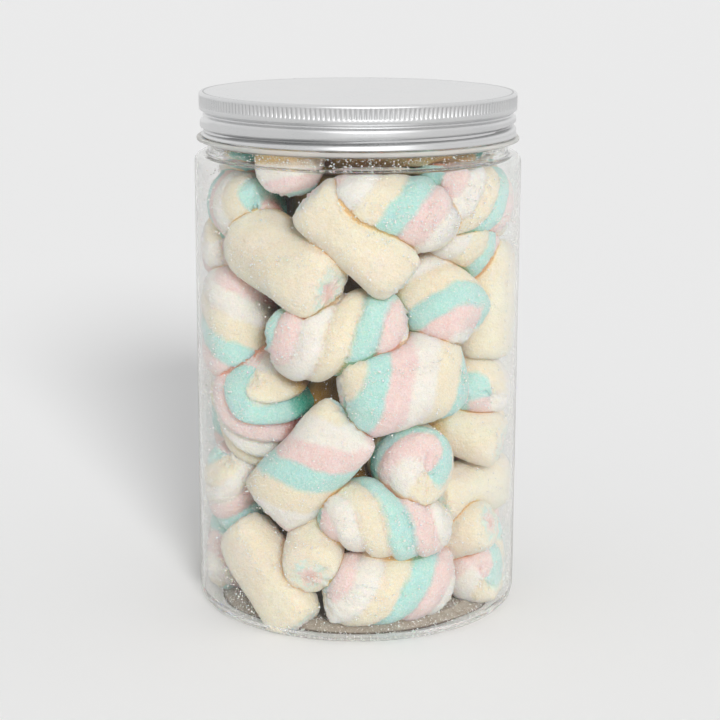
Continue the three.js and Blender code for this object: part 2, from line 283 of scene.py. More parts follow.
def overlap(first, second):
    """How deep two pieces run into each other, taken as round bars."""
    gap = first.centre - second.centre
    turn, on_first, on_second = first.along @ second.along, first.along @ gap, second.along @ gap
    spread = max(1 - turn ** 2, 1e-6)
    s = min(max((turn * on_second - on_first) / spread, -first.reach), first.reach)
    t = min(max(turn * s + on_second, -second.reach), second.reach)
    s = min(max(turn * t - on_first, -first.reach), first.reach)
    gap = gap + first.along * s - second.along * t
    return max((first.width + second.width) / 2 - math.sqrt(gap @ gap), 0)


def crowding(candidate, placed, ceiling):
    rise = abs(candidate.along[2]) * candidate.reach + candidate.width / 2
    above = max(candidate.height + rise - ceiling, 0)
    below = max(CAD_FLOOR - candidate.height + rise, 0)
    return above ** 2 + below ** 2 + sum(overlap(candidate, other) ** 2 for other in placed)


def roomiest(draws, placed, around, height, inset):
    """One piece for the back of the jar: of some random ones, the one that has most room."""
    twisted = draws.random() < 0.68
    best = None
    for _ in range(BACK_TRIES):
        tilt, lean, length = draws.between(-90, 90), draws.between(-25, 25), draws.between(36, 42)
        width = draws.between(23, 27) if twisted else draws.between(19, 22.5)
        place = (around + draws.between(-9, 9), height + draws.between(-4, 4))
        hand = LEFT if draws.random() < 0.7 else RIGHT
        flat = draws.between(0, 90)
        if twisted:
            candidate = twist(*place, tilt, lean, flat, length, width, inset, sum(place) % 4, hand)
        else:
            candidate = roll(*place, tilt, lean, flat, length, width, inset)
        ceiling = CAD_NECK_CEILING if height > SHOULDER_HEIGHT else CAD_CEILING
        score = crowding(candidate, placed, ceiling)
        if best is None or score < best[0]:
            best = (score, candidate)
    return best[1]


def arrangement():
    draws = Draws(SEED)
    placed = front_pieces()
    front = len(placed)
    for row in range(BACK_ROWS):
        columns = BACK_COLUMNS - row % 2
        for column in range(columns):
            around = 180 + BACK_COLUMN_STEP * (column - (columns - 1) / 2)
            placed.append(roomiest(draws, placed, around, BACK_FIRST_HEIGHT + BACK_ROW_STEP * row, 0))
    for index in range(TOP_PIECES):
        placed.append(roomiest(draws, placed, TOP_FIRST + TOP_STEP * index, TOP_HEIGHT, TOP_INSET))
    return placed, front


# ---------------------------------------------------------------- shapes of marshmallows

def waves(points, wavelength, seed, count=16):
    """Smooth noise of about unit size, as a sum of plane waves in seeded directions."""
    draw = np.random.default_rng(seed)
    vectors = draw.normal(size=(count, 3))
    lengths = np.linalg.norm(vectors, axis=1)
    vectors *= (2 * math.pi / wavelength * draw.uniform(0.6, 1.5, count) / lengths)[:, None]
    phases = draw.uniform(0, 2 * math.pi, count)
    return np.sin(points @ vectors.T + phases).sum(-1) * math.sqrt(2 / count)


def section_radius(piece, along, angle):
    """The outline of a piece's section: round in the middle, and crimped flat at both ends."""
    end = np.minimum(np.abs(along), 1)
    radius = piece.width / 2
    wide = radius * (1 - piece.taper * end ** piece.bulk)
    reach, rounding = TWIST_THINNING if piece.twisted else ROLL_THINNING
    thin = radius * (piece.crimp + (1 - piece.crimp) * (1 - end ** reach) ** rounding)
    turned = angle - piece.flat
    return 1 / np.hypot(np.sin(turned) / wide, np.cos(turned) / thin)


def rim_share(along):
    """How far the rounded rims of the ends draw the section in."""
    past = np.clip((np.abs(along) - RIM_START) / (1 - RIM_START), 0, 1)
    return (1 - past ** RIM_POWER) ** (1 / RIM_POWER)


def depth(piece, points):
    """How far points lie outside a piece, in mm. It is negative inside it."""
    offset = points - piece.centre
    length, x, y = offset @ piece.along, offset @ piece.out, offset @ piece.across
    share = length / (piece.length / 2)
    radius = section_radius(piece, share, np.arctan2(y, x)) * rim_share(share) * (1 - piece.relief / 4)
    return np.maximum(np.hypot(x, y) - radius, np.abs(length) - piece.length / 2)


def floor_height(radius):
    """The inside of the jar's bottom: pushed up in the middle, then the foot ring and the base corner."""
    ring = np.clip((radius - PUSH_UP_RADIUS) / (FOOT_INNER_RADIUS - PUSH_UP_RADIUS), 0, 1)
    bend = BASE_CORNER - JAR_WALL
    past = np.clip(radius - FOOT_OUTER_RADIUS, 0, bend)
    return JAR_WALL + PUSH_UP_HEIGHT * (1 - ring) + bend - np.sqrt(bend ** 2 - past ** 2)


def farthest(piece):
    """How far from the jar's axis a piece may reach."""
    return (NECK_RADIUS if piece.in_neck else JAR_RADIUS) - JAR_WALL - WALL_GAP


def kept_inside(piece, points):
    """Presses points back inside the jar's body, or inside its neck for a piece that reaches up into it."""
    radius, limit = np.hypot(points[:, 0], points[:, 1]), farthest(piece)
    points[:, :2] *= np.minimum(limit / np.maximum(radius, 1e-6), 1)[:, None]
    floor = floor_height(np.minimum(radius, limit)) + WALL_GAP
    points[:, 2] = np.clip(points[:, 2], floor, CAD_NECK_CEILING if piece.in_neck else CEILING)


def rounded_off(piece, points):
    """Eases points away from the wall, so that the patch pressed flat against it has no sharp border."""
    radius, limit = np.hypot(points[:, 0], points[:, 1]), farthest(piece)
    room = WALL_EASE * np.logaddexp(0, (limit - radius) / WALL_EASE)
    points[:, :2] *= ((limit - room) / np.maximum(radius, 1e-6))[:, None]


def pressed(piece, points, others):
    """Soft contact: where two pieces would run into each other, both give way, and the firm one less."""
    moved = np.zeros(len(points))
    core = np.clip((points - piece.centre) @ piece.along, -0.8 * piece.reach, 0.8 * piece.reach)
    inwards = piece.centre + core[:, None] * piece.along - points
    inwards /= np.linalg.norm(inwards, axis=1)[:, None]
    for _ in range(PRESS_STEPS):
        needed = np.zeros(len(points))
        for other in others:
            share = 0.5
            if other.firm != piece.firm:
                share = FIRM_SHARE if piece.firm > other.firm else 1 - FIRM_SHARE
            needed = np.maximum(needed, share * (moved + TOUCH_GAP - depth(other, points)))
        push = np.clip(needed - moved, 0, None)
        points += inwards * push[:, None]
        moved += push
        kept_inside(piece, points)
    return moved


def stations(count, rim_rings):
    """Positions along a piece from -1 to 1, between its two poles, with the section's share at each."""
    body = RIM_START * np.sin(1.2 * np.linspace(-1, 1, count)) / math.sin(1.2)
    turn = np.linspace(0, math.pi / 2, rim_rings + 2)[1:-1]
    rim = RIM_START + (1 - RIM_START) * np.sin(turn) ** (2 / RIM_POWER)
    places = np.concatenate([-rim[::-1], body, rim])
    return places, rim_share(places)


def surface(piece, seed, detail, others):
    """The points of one marshmallow, its quads and their corners' strand values, the same for the fans that
    close its ends, how near each point is to an end and to another piece, and how much painted shade it gets
    towards the jar's middle and in the neck."""
    count, sides, rim_rings = detail
    places, share = stations(count, rim_rings)
    rows = len(places)
    turn = 2 * math.pi * np.arange(sides + 1) / sides
    angles = turn - 0.4 * np.sin(turn)
    twisting = piece.hand * 4 * angles[None, :] / (2 * math.pi)
    strand = STRAND_TURNS * places[:, None] / 2 - twisting + piece.strand
    around = angles[None, :-1]
    radius = section_radius(piece, places[:, None], around)
    lobe = np.mod(strand[:, :-1], 1)
    lobe = lobe ** (1 + piece.skew) if piece.skew >= 0 else 1 - (1 - lobe) ** (1 - piece.skew)
    groove = piece.relief * radius * (1 - np.sqrt(np.abs(np.sin(math.pi * lobe)))) * share[:, None]
    radius = radius * share[:, None]
    x, y = radius * np.cos(around), radius * np.sin(around)
    length = np.repeat(places[:, None] * piece.length / 2, sides, 1)
    grid = (piece.centre + length[..., None] * piece.along + x[..., None] * piece.out
            + y[..., None] * piece.across)
    flat = grid.reshape(-1, 3)
    local = flat - piece.centre

    # Uneven swelling all over, folds and a pinch line at the two ends.
    outwards = (x[..., None] * piece.out + y[..., None] * piece.across).reshape(-1, 3)
    size = np.linalg.norm(outwards, axis=1)
    outwards /= np.maximum(size, 1e-6)[:, None]
    body = np.repeat(share, sides)
    end = np.abs(np.repeat(places, sides))
    swell = SWELL * waves(local, 20, seed)
    pucker = PUCKER * np.clip((end - PUCKER_START) / PUCKER_REACH, 0, 1) ** 1.5
    pucker *= waves(outwards * 9 + local * 0.12, 5.5, seed + 3)
    flat += outwards * ((swell + pucker) * body)[:, None]
    turned = (around - piece.flat) + np.zeros_like(radius)
    thin, wide = (radius * np.cos(turned)).ravel(), (radius * np.sin(turned)).ravel()
    reach = 0.5 * piece.width / 2
    pinch = np.exp(-(thin + 0.5 * waves(local, 5, seed + 4)) ** 2 / PINCH_WIDTH ** 2)
    pinch *= np.clip(1 - (wide / reach) ** 4, 0, 1) * (TWIST_PINCH if piece.twisted else ROLL_PINCH)
    folds = FINE_FOLDS * waves(local, 2.4, seed + 5) + BROAD_FOLDS * waves(local, 5, seed + 6)
    face = np.clip((end - RIM_START) / (1 - RIM_START), 0, 1) ** 2 * np.sign(np.repeat(places, sides))
    flat += piece.along * (face * (folds - pinch - END_DISH))[:, None]

    poles = np.array([piece.centre - piece.along * (piece.length / 2 - POLE_DEPTH),
                      piece.centre + piece.along * (piece.length / 2 - POLE_DEPTH)])
    points = np.concatenate([flat, poles])
    rounded_off(piece, points)
    moved = pressed(piece, points, others)
    grid = points[:-2].reshape(rows, sides, 3)
    moved = np.clip(moved[:-2].reshape(rows, sides, 1), 0, 1)
    for _ in range(2):
        mean = (np.roll(grid, 1, 1) + np.roll(grid, -1, 1)) / 4
        mean[1:-1] += (grid[2:] + grid[:-2]) / 4
        mean[[0, -1]] *= 2
        grid = grid + SMOOTHING * moved * (mean - grid)
    points[:-2] = grid.reshape(-1, 3)
    kept_inside(piece, points)
    rough = ROUGHNESS * (1 + 0.5 * waves(local, 4.5, seed + 1) + 0.5 * waves(local, 2.0, seed + 2))
    points[:-2] -= outwards * (groove.ravel() + np.clip(rough, 0, None) * body)[:, None]

    quad_strand = np.stack([strand[:-1, :-1], strand[:-1, 1:], strand[1:, 1:], strand[1:, :-1]], -1)
    fan_strand = np.concatenate([
        np.stack([strand[0, :-1] / 2 + strand[0, 1:] / 2, strand[0, 1:], strand[0, :-1]], -1),
        np.stack([strand[-1, :-1] / 2 + strand[-1, 1:] / 2, strand[-1, :-1], strand[-1, 1:]], -1),
    ])
    ring = np.where(end < RIM_START, 1 + (RIM_START - end) * piece.length / 2 / reach, body)
    ring = np.concatenate([ring, [0, 0]])
    gap = np.min([depth(other, points) for other in others], axis=0)
    crevice = np.exp(-np.clip(gap - TOUCH_GAP, 0, None) / CREVICE_REACH)
    # Painted shade towards the jar's middle and, under the lid, in the neck.
    deep = np.clip((DEEP_RADIUS - np.hypot(points[:, 0], points[:, 1])) / DEEP_FADE, 0, 1)
    deep = np.maximum(deep, NECK_SHADE * np.clip((points[:, 2] - SHOULDER_HEIGHT + 1) / 2, 0, 1))
    return (points, grid_faces(rows, sides), quad_strand, fan_faces(rows, sides), fan_strand,
            ring, crevice, deep)


# ---------------------------------------------------------------- meshes

def mesh_object(name, points, faces, corner_values=None, point_values=None, smooth=True):
    """A mesh object in metres from points in mm and arrays of faces. All faces of one array have the same
    number of corners."""
    mesh = bpy.data.meshes.new(name)
    loops = np.concatenate([part.ravel() for part in faces])
    sizes = np.concatenate([np.full(len(part), part.shape[1]) for part in faces])
    mesh.vertices.add(len(points))
    mesh.vertices.foreach_set("co", (points * MM).astype(np.float32).ravel())
    mesh.loops.add(len(loops))
    mesh.loops.foreach_set("vertex_index", loops.astype(np.int32))
    mesh.polygons.add(len(sizes))
    mesh.polygons.foreach_set("loop_start", (np.cumsum(sizes) - sizes).astype(np.int32))
    mesh.update(calc_edges=True)
    mesh.validate()
    for domain, values in (("CORNER", corner_values), ("POINT", point_values)):
        for label, numbers in (values or {}).items():
            layer = mesh.attributes.new(label, "FLOAT", domain)
            layer.data.foreach_set("value", numbers.astype(np.float32).ravel())
    if smooth:
        mesh.shade_smooth()
    made = bpy.data.objects.new(name, mesh)
    bpy.context.scene.collection.objects.link(made)
    return made


def grid_faces(rows, columns):
    """Quads of a grid that closes on itself along its columns."""
    row, side = np.meshgrid(np.arange(rows - 1), np.arange(columns), indexing="ij")
    after = (side + 1) % columns
    return np.stack([row * columns + side, row * columns + after, (row + 1) * columns + after,
                     (row + 1) * columns + side], -1).reshape(-1, 4)


def fan_faces(rows, columns):
    """Triangles from the first and last rows of such a grid to the two poles, which come after its points."""
    side = np.arange(columns)
    after = (side + 1) % columns
    first, last, top = rows * columns, rows * columns + 1, (rows - 1) * columns
    return np.concatenate([
        np.stack([np.full(columns, first), after, side], -1),
        np.stack([np.full(columns, last), top + side, top + after], -1),
    ])


def placed_round(radius, turn, height):
    """Points at the given radii, angles and heights round the jar's axis."""
    return np.stack([radius * np.cos(turn), radius * np.sin(turn), height], -1)


def revolved(name, radii, heights):
    """A closed body of revolution whose first and last rows lie on the axis. radii is rows by columns."""
    rows, columns = radii.shape
    angles = 2 * math.pi * np.arange(columns) / columns
    grid = placed_round(radii, angles, heights)
    points = np.concatenate([grid[1:-1].reshape(-1, 3), grid[[0, -1], 0]])
    return mesh_object(name, points, [grid_faces(rows - 2, columns), fan_faces(rows - 2, columns)])


def filleted(corners, steps=4):
    """An outline in which each corner, given as radius, height and fillet, is rounded by an arc."""
    outline = [corners[0][:2]]
    for before, here, after in zip(corners, corners[1:], corners[2:]):
        if here[2] <= 0:
            outline.append(here[:2])
            continue
        place = np.array(here[:2], float)
        back, ahead = np.array(before[:2]) - place, np.array(after[:2]) - place
        back, ahead = back / np.linalg.norm(back), ahead / np.linalg.norm(ahead)
        half = math.acos(max(min(back @ ahead, 1), -1)) / 2
        centre = place + (back + ahead) / np.linalg.norm(back + ahead) * here[2] / math.sin(half)
        start, stop = place + back * here[2] / math.tan(half), place + ahead * here[2] / math.tan(half)
        from_angle = math.atan2(*(start - centre)[::-1])
        turn = math.atan2(*(stop - centre)[::-1]) - from_angle
        turn = (turn + math.pi) % (2 * math.pi) - math.pi
        for step in range(steps + 1):
            angle = from_angle + turn * step / steps
            outline.append((centre[0] + here[2] * math.cos(angle), centre[1] + here[2] * math.sin(angle)))
    outline.append(corners[-1][:2])
    return outline


def point_attribute(made, name, values):
    made.data.attributes.new(name, "FLOAT", "POINT").data.foreach_set("value", values.astype(np.float32))


def lathe(name, outline, columns):
    rows = np.array(outline)
    ones = np.ones(columns)
    return revolved(name, rows[:, :1] * ones, rows[:, 1:] * ones)


# ---------------------------------------------------------------- materials

def node(tree, kind, inputs=(), **settings):
    """A node with its settings, and with a link or a plain value in each named or numbered input."""
    made = tree.nodes.new(kind)
    for key, value in settings.items():
        setattr(made, key, value)
    for key, value in dict(inputs).items():
        if isinstance(value, bpy.types.NodeSocket):
            tree.links.new(value, made.inputs[key])
        else:
            made.inputs[key].default_value = value
    return made


def math_node(tree, operation, *values):
    return node(tree, "ShaderNodeMath", dict(enumerate(values)), operation=operation).outputs[0]


def mapped(tree, value, low, high, to_low, to_high, **settings):
    """The value's range from low to high, moved to the one from to_low to to_high."""
    limits = {"From Min": low, "From Max": high, "To Min": to_low, "To Max": to_high}
    return node(tree, "ShaderNodeMapRange", {"Value": value, **limits}, **settings).outputs[0]


def attribute(tree, name):
    return node(tree, "ShaderNodeAttribute", attribute_name=name).outputs["Fac"]


def gamma(tree, color, power):
    return node(tree, "ShaderNodeGamma", {"Color": color, "Gamma": power}).outputs[0]


def bumps(tree, strength, distance, height):
    inputs = {"Strength": strength, "Distance": distance, "Height": height}
    return node(tree, "ShaderNodeBump", inputs).outputs[0]


def mix_shader(tree, share, first, second):
    return node(tree, "ShaderNodeMixShader", {0: share, 1: first, 2: second}).outputs[0]


def mix_color(tree, factor, first, second, blend="MIX"):
    inputs = {0: factor, 6: first, 7: second}
    return node(tree, "ShaderNodeMix", inputs, data_type="RGBA", blend_type=blend).outputs[2]


def ramp(tree, factor, stops):
    made = node(tree, "ShaderNodeValToRGB", {"Fac": factor})
    elements = made.color_ramp.elements
    for index, (place, color) in enumerate(stops):
        element = elements[index] if index < 2 else elements.new(place)
        element.position, element.color = place, color
    return made.outputs["Color"]


def noise(tree, coordinates, size_mm, detail=2, roughness=0.5):
    inputs = {"Vector": coordinates, "Scale": 1 / (size_mm * MM), "Detail": detail, "Roughness": roughness}
    return node(tree, "ShaderNodeTexNoise", inputs).outputs[0]


def new_material(name):
    """An empty material, its node tree and the place on the object that its textures follow."""
    material = bpy.data.materials.new(name)
    material.use_nodes = True
    tree = material.node_tree
    tree.nodes.clear()
    return material, tree, node(tree, "ShaderNodeTexCoord").outputs["Object"]


def principled(tree, **inputs):
    named = {key.replace("_", " "): value for key, value in inputs.items()}
    return node(tree, "ShaderNodeBsdfPrincipled", named).outputs[0]


def shown(tree, shader):
    node(tree, "ShaderNodeOutputMaterial", {"Surface": shader})


MINT = (0.49, 0.77, 0.71, 1)
PINK = (0.88, 0.66, 0.63, 1)
WHITE = (0.89, 0.83, 0.76, 1)
CREAM = (0.89, 0.78, 0.60, 1)
POWDER_COLOR = (0.95, 0.92, 0.88, 1)
PET_COLOR = (0.985, 0.992, 0.99, 1)
FILM_COLOR = (0.9, 0.89, 0.87, 1)
PASSING_COLOR = (0.9, 0.905, 0.9, 1)
GROOVE_SHADE_COLOR = (0.03, 0.03, 0.03, 1)
DUST_SHADE_EDGE_COLOR = (0.09, 0.055, 0.035, 1)
STRIPE_BLUR = 0.028
# Painted shade in the marshmallows' crevices and deep in the heap, and the painted light of their crevices
CREVICE_SHADE_GAMMA = 0.5
CONTACT_SHADE_GAMMA = 2.5
DEEP_SHADE_GAMMA = 5.0
CONTACT_SHADE_POWER = 14
GLOW = 0.24
GLOW_POWER = 3.0
GLOW_COLOR = (0.84, 0.6, 0.3, 1)
GLOW_SHARE = 0.7
GLOW_GAMMA = 2.2


def strand_color(tree, coordinates):
    """The four strands, with soft wavering borders."""
    strand = attribute(tree, "strand")
    waver = math_node(tree, "MULTIPLY_ADD", noise(tree, coordinates, 8), 0.5, -0.25)
    fuzz = math_node(tree, "MULTIPLY_ADD", noise(tree, coordinates, 1.1), 0.16, -0.08)
    value = math_node(tree, "ADD", math_node(tree, "ADD", strand, waver), fuzz)
    share = math_node(tree, "FRACT", math_node(tree, "MULTIPLY_ADD", value, 0.25, 0.125))
    stops = [(0, CREAM)]
    for border, before, after in ((0.125, CREAM, MINT), (0.375, MINT, PINK), (0.625, PINK, WHITE),
                                  (0.875, WHITE, CREAM)):
        stops += [(border - STRIPE_BLUR, before), (border + STRIPE_BLUR, after)]
    return ramp(tree, share, stops + [(1, CREAM)])


def roll_color(tree, coordinates):
    """Cream outside, with a thin mint ring round a pink middle where the ends show them."""
    tint = ramp(tree, noise(tree, coordinates, 16, 1), [
        (0.3, (0.90, 0.83, 0.66, 1)), (0.5, CREAM), (0.7, (0.92, 0.80, 0.66, 1)),
    ])
    ring = attribute(tree, "ring")
    ragged = math_node(tree, "MULTIPLY_ADD", noise(tree, coordinates, 1.8, 4, 0.75), 0.9, -0.45)
    middle = math_node(tree, "MULTIPLY_ADD", ring, 0.8, ragged)
    core = ramp(tree, middle, [
        (0.05, (0.84, 0.56, 0.5, 1)), (0.3, (0.9, 0.7, 0.63, 1)), (0.42, (0.88, 0.78, 0.66, 1)),
        (0.52, (0.66, 0.82, 0.74, 1)), (0.6, (0.7, 0.83, 0.74, 1)), (0.74, CREAM),
    ])
    torn = mapped(tree, noise(tree, coordinates, 4.5, 2), 0.36, 0.6, 0.25, 1.0)
    edge = mapped(tree, middle, 0.4, 0.55, 1.0, torn)
    inside = mapped(tree, middle, 0.66, 0.86, edge, 0.0)
    return mix_color(tree, inside, tint, core)


def marshmallow_material(name, colored):
    """Powdery foam. Painted shade: its colour is darkened and saturated in the crevices, near contacts, deep
    in
    the heap and in the neck. Painted light: a warm emission in the crevices stands for light that bounces
    from foam to foam and shines through their thin lips."""
    material, tree, coordinates = new_material(name)
    color = colored(tree, coordinates)
    grain = noise(tree, coordinates, 0.7, 3, 0.7)
    color = mix_color(tree, mapped(tree, grain, 0.46, 0.72, 0.0, 0.5), color, POWDER_COLOR)
    patches = math_node(tree, "MULTIPLY_ADD", noise(tree, coordinates, 5, 3), 0.12, 0.94)
    specks = mapped(tree, noise(tree, coordinates, 0.5, 2, 0.6), 0.25, 0.5, 0.88, 1.0)
    shade = math_node(tree, "MULTIPLY", patches, specks)
    shade = node(tree, "ShaderNodeCombineColor", {"Red": shade, "Green": shade, "Blue": shade})
    color = mix_color(tree, 1.0, color, shade.outputs[0], "MULTIPLY")
    # Painted shade: a gamma darkens and saturates the colour near other pieces, deep in the heap and in the
    # neck.
    crevice = attribute(tree, "crevice")
    contact = math_node(tree, "POWER", crevice, CONTACT_SHADE_POWER)
    contact = math_node(tree, "MULTIPLY_ADD", contact, CONTACT_SHADE_GAMMA, 1.0)
    deep = attribute(tree, "deep")
    inside = math_node(tree, "MULTIPLY_ADD", deep, DEEP_SHADE_GAMMA, contact)
    painted_shade_color = gamma(tree, color, math_node(tree, "MULTIPLY_ADD", crevice, CREVICE_SHADE_GAMMA, inside))
    # Painted light: a warm emission in the crevices, weaker deep in the heap.
    glow = math_node(tree, "MULTIPLY", math_node(tree, "POWER", crevice, GLOW_POWER),
                     math_node(tree, "MULTIPLY_ADD", deep, -GLOW, GLOW))
    warm = mix_color(tree, GLOW_SHARE, gamma(tree, color, GLOW_GAMMA), GLOW_COLOR)
    wrinkles = noise(tree, coordinates, 1.8, 3, 0.6)
    height = math_node(tree, "MULTIPLY_ADD", wrinkles, 1.2, grain)
    shown(tree, principled(
        tree, Base_Color=painted_shade_color, Roughness=0.9, Specular_IOR_Level=0.12, Subsurface_Weight=0.85,
        Subsurface_Radius=(1.0, 0.75, 0.5), Subsurface_Scale=0.005, Sheen_Weight=0.1, Sheen_Roughness=0.5,
        Normal=bumps(tree, 0.9, 0.0008, height), Emission_Color=warm, Emission_Strength=glow))
    material.cycles.emission_sampling = "NONE"
    return material


def core_shade_material():
    """Painted shade: the inside of the heap that the gaps show, coloured dark brown as foam in shade."""
    material, tree, coordinates = new_material("heap_inside_shade")
    color = ramp(tree, noise(tree, coordinates, 9, 3), [
        (0.35, (0.16, 0.08, 0.015, 1)), (0.5, (0.28, 0.15, 0.03, 1)), (0.68, (0.22, 0.18, 0.05, 1)),
    ])
    shown(tree, principled(tree, Base_Color=color, Roughness=0.9, Specular_IOR_Level=0.1,
                           Normal=bumps(tree, 0.6, 0.0004, noise(tree, coordinates, 1.4, 3))))
    return material


def sugar_material():
    material, tree, coordinates = new_material("sugar")
    color = ramp(tree, noise(tree, coordinates, 3), [
        (0.3, (0.9, 0.88, 0.84, 1)), (0.7, (0.97, 0.97, 0.96, 1)),
    ])
    shown(tree, principled(tree, Base_Color=color, Roughness=0.25, Specular_IOR_Level=0.7,
                           Subsurface_Weight=0.2, Subsurface_Scale=0.0002))
    return material


def dust_and_shade_material():
    material, tree, coordinates = new_material("sugar_dust_and_shade")
    # Sugar dust, grey-brown partly as painted shade under the heap, with a dark line of painted shade at its
    # edge.
    color = ramp(tree, noise(tree, coordinates, 2.5, 3), [
        (0.3, (0.48, 0.4, 0.32, 1)), (0.7, (0.64, 0.56, 0.48, 1)),
    ])
    reach = node(tree, "ShaderNodeVectorMath", {0: coordinates}, operation="LENGTH").outputs["Value"]
    edge = mapped(tree, reach, (FOOT_INNER_RADIUS - 0.35) * MM, (FOOT_INNER_RADIUS + 0.1) * MM, 0.0, 0.85)
    color = mix_color(tree, edge, color, DUST_SHADE_EDGE_COLOR)
    thin = mapped(tree, noise(tree, coordinates, 1.2, 4, 0.7), 0.3, 0.7, 0.55, 0.85)
    clear = node(tree, "ShaderNodeBsdfTransparent").outputs[0]
    shown(tree, mix_shader(tree, thin, clear, principled(tree, Base_Color=color, Roughness=0.9)))
    return material


def clear_plastic_material():
    """Clear PET that lets lamps and bounced light straight through, with a film of sugar dust that
    whitens it where it is seen at a slant. The thick bead under the lid is whitened with the film as a
    painted reflection of the lid above it."""
    material, tree, coordinates = new_material("clear_plastic")
    haze = math_node(tree, "MULTIPLY", noise(tree, coordinates, 6), 0.02)
    plastic = principled(tree, Base_Color=PET_COLOR, Roughness=haze, IOR=1.25, Transmission_Weight=1.0,
                         Normal=bumps(tree, 0.1, 0.0002, noise(tree, coordinates, 28, 1)))
    film = mix_shader(tree, 0.5, *(node(tree, kind, {"Color": FILM_COLOR}).outputs[0]
                                   for kind in ("ShaderNodeBsdfDiffuse", "ShaderNodeBsdfTranslucent")))
    slant = node(tree, "ShaderNodeLayerWeight", {"Blend": 0.5}).outputs["Facing"]
    # Painted reflection: the bead is whitened as the lid's reflection in the thick clear plastic.
    painted_bead_reflection = math_node(tree, "MULTIPLY", attribute(tree, "bead"), 0.7)
    share = math_node(tree, "MAXIMUM", mapped(tree, slant, 0.3, 1.0, 0.004, 0.3), painted_bead_reflection)
    seen = mix_shader(tree, share, plastic, film)
    clear = node(tree, "ShaderNodeBsdfTransparent", {"Color": PASSING_COLOR}).outputs[0]
    path = node(tree, "ShaderNodeLightPath").outputs
    passes = math_node(tree, "MAXIMUM", path["Is Shadow Ray"], path["Is Diffuse Ray"])
    shown(tree, mix_shader(tree, passes, seen, clear))
    return material


def aluminium_material():
    """Satin aluminium, with faint spinning marks and painted shade in its grooves."""
    material, tree, coordinates = new_material("lid_aluminium")
    stretch = node(tree, "ShaderNodeMapping", {"Vector": coordinates, "Scale": (1, 1, 14)})
    satin = noise(tree, stretch.outputs[0], 1.2, 3, 0.6)
    cloudy = noise(tree, coordinates, 14, 2)
    rough = math_node(tree, "MULTIPLY_ADD", satin, 0.12, math_node(tree, "MULTIPLY_ADD", cloudy, 0.08, 0.2))
    color = ramp(tree, cloudy, [(0.3, (0.64, 0.645, 0.65, 1)), (0.7, (0.68, 0.68, 0.68, 1))])
    color = mix_color(tree, attribute(tree, "shade"), color, GROOVE_SHADE_COLOR)
    shown(tree, principled(tree, Base_Color=color, Metallic=1.0, Roughness=rough,
                           Normal=bumps(tree, 0.12, 0.0001, satin)))
    return material


# ---------------------------------------------------------------- the pieces

def dressed(made, material, slot, *nodes):
    made.data.materials.append(material)
    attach(made, "root")
    if nodes:
        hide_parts(*nodes)


def heap(pieces, front):
    """All marshmallows, as one mesh for each kind. Returns the points of their skin that touch nothing."""
    kinds = {"twists_left": [], "twists_right": [], "cream_rolls": []}
    for index, piece in enumerate(pieces):
        kind = "cream_rolls" if not piece.twisted else "twists_left" if piece.hand == LEFT else "twists_right"
        span = piece.length / 2 + piece.width / 2
        others = [other for other in pieces if other is not piece
                  and np.linalg.norm(other.centre - piece.centre) < span + other.length / 2 + other.width / 4]
        detail = FRONT_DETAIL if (index < front) else BACK_DETAIL
        kinds[kind].append(surface(piece, 100 * index, detail, others))
    skin = []
    materials = {True: marshmallow_material("twisted_marshmallow", strand_color),
                 False: marshmallow_material("rolled_marshmallow", roll_color)}
    for name, parts in kinds.items():
        starts = np.cumsum([0] + [len(part[0]) for part in parts])
        points = np.concatenate([part[0] for part in parts])
        quads = np.concatenate([part[1] + start for part, start in zip(parts, starts)])
        fans = np.concatenate([part[3] + start for part, start in zip(parts, starts)])
        strands = np.concatenate([part[2].ravel() for part in parts] + [part[4].ravel() for part in parts])
        rings, crevices, depths = (np.concatenate([part[index] for part in parts]) for index in (5, 6, 7))
        made = mesh_object(name, points, [quads, fans], {"strand": strands},
                           {"ring": rings, "crevice": crevices, "deep": depths})
        dressed(made, materials[name != "cream_rolls"], "marshmallow", "marshmallows")
        skin.append(points[crevices < FREE_SKIN])
    return np.concatenate(skin)


def inner_core():
    """The lumpy mass behind the outer pieces, dressed in painted shade."""
    heights = np.linspace(CORE_BOTTOM, CORE_TOP, CORE_ROWS)
    angles = 2 * math.pi * np.arange(CORE_COLUMNS) / CORE_COLUMNS
    radius = CORE_RADIUS - CORE_TAPER * np.clip((heights - CORE_TAPER_START) / CORE_TAPER_LENGTH, 0, 1)
    radius[[0, -1]] = 0
    z = heights[:, None] * np.ones(CORE_COLUMNS)
    around = placed_round(radius[:, None], angles, z)
    lumps = CORE_LUMPS * np.abs(waves(around.reshape(-1, 3), CORE_WAVELENGTH, 7)).reshape(z.shape)
    radii = radius[:, None] - lumps * (radius > 0)[:, None]
    dressed(revolved("heap_core", radii, z), core_shade_material(), "marshmallow", "marshmallows")


